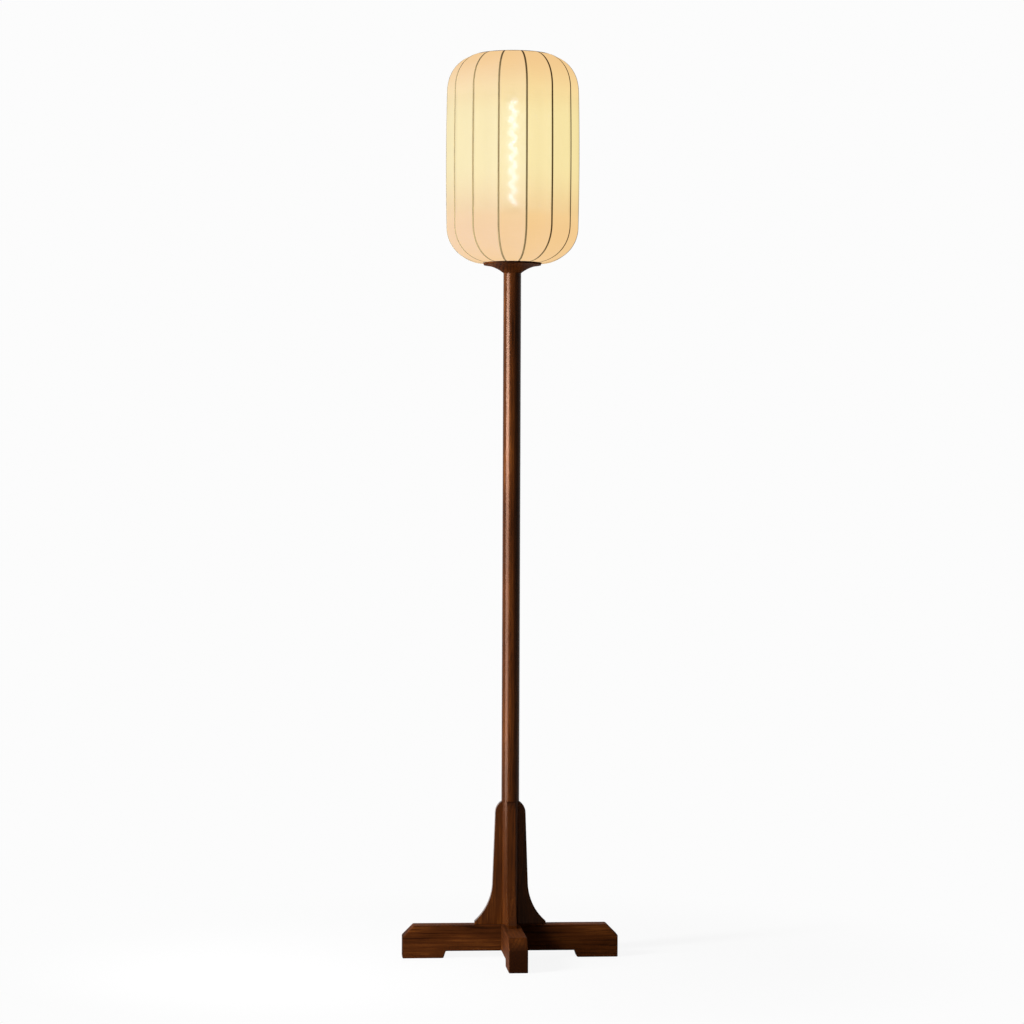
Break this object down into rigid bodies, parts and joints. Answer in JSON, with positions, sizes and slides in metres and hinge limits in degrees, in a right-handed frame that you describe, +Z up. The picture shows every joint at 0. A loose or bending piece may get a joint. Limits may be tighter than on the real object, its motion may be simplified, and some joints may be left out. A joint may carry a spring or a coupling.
{
  "type": "andon floor lamp",
  "caption": "Slim floor lamp: lantern shade of bent ribs under pale silk on a turned plate, round dark wood post, curved fins and a cross base with arched feet.",
  "frame": {"origin": "on the floor, under the middle of the cross base", "axes": "+Z up along the post; the lower beam of the base lies along X and the upper beam along Y; the front is towards -Y"},
  "size_m": [0.37, 0.37, 1.5475],
  "materials": {
    "walnut": "dark walnut, satin lacquer",
    "silk": "thin cream silk, lit from inside",
    "frame_steel": "dark brown lacquered strip",
    "zinc_steel": "zinc plated",
    "brass": "bright",
    "black_plastic": "matte black",
    "ceramic": "white glazed ceramic",
    "black_glass": "black glass",
    "solder": "soldered tip",
    "clear_glass": "clear, warm tint",
    "filament": "glowing warm coil"
  },
  "bodies": {
    "stand": {"beam_lower": "walnut", "beam_upper": "walnut", "fin_front": "walnut", "fin_back": "walnut", "fin_left": "walnut", "fin_right": "walnut", "post": "walnut", "shade_plate": "walnut", "tie_tube": "zinc_steel", "pipe_washers": "zinc_steel", "pipe_nuts": "zinc_steel", "cord_bushing": "black_plastic", "neck_spacer": "zinc_steel", "socket_cap": "black_plastic", "socket_body": "black_plastic", "socket_insulator": "ceramic", "terminal_screws": "brass", "socket_shell": "brass", "socket_contact": "brass"},
    "bulb": {"bulb_cap": "brass", "bulb_insulator": "black_glass", "bulb_contact": "solder", "bulb_glass": "clear_glass", "bulb_stem": "clear_glass", "bulb_filament": "filament", "bulb_leads": "zinc_steel"},
    "shade": {"rib_01": "frame_steel", "rib_02": "frame_steel", "rib_03": "frame_steel", "rib_04": "frame_steel", "rib_05": "frame_steel", "rib_06": "frame_steel", "rib_07": "frame_steel", "rib_08": "frame_steel", "rib_09": "frame_steel", "rib_10": "frame_steel", "rib_11": "frame_steel", "rib_12": "frame_steel", "rib_13": "frame_steel", "rib_14": "frame_steel", "rib_15": "frame_steel", "top_hoop": "frame_steel", "bottom_hoop": "frame_steel", "spider": "frame_steel", "shade_cover": "silk"},
    "shade_ring": {"shade_ring": "black_plastic"}
  },
  "joints": [
    {"name": "bulb_lift", "type": "slide", "parent": "stand", "child": "bulb", "axis": [0, 0, 1], "range_m": [0, 0.3]},
    {"name": "shade_lift", "type": "slide", "parent": "stand", "child": "shade", "axis": [0, 0, 1], "range_m": [0, 0.3]},
    {"name": "shade_ring_turn", "type": "hinge", "parent": "shade", "child": "shade_ring", "pos_m": [0, 0, 1.256], "axis": [0, 0, 1], "range_deg": [0, 1080]}
  ]
}
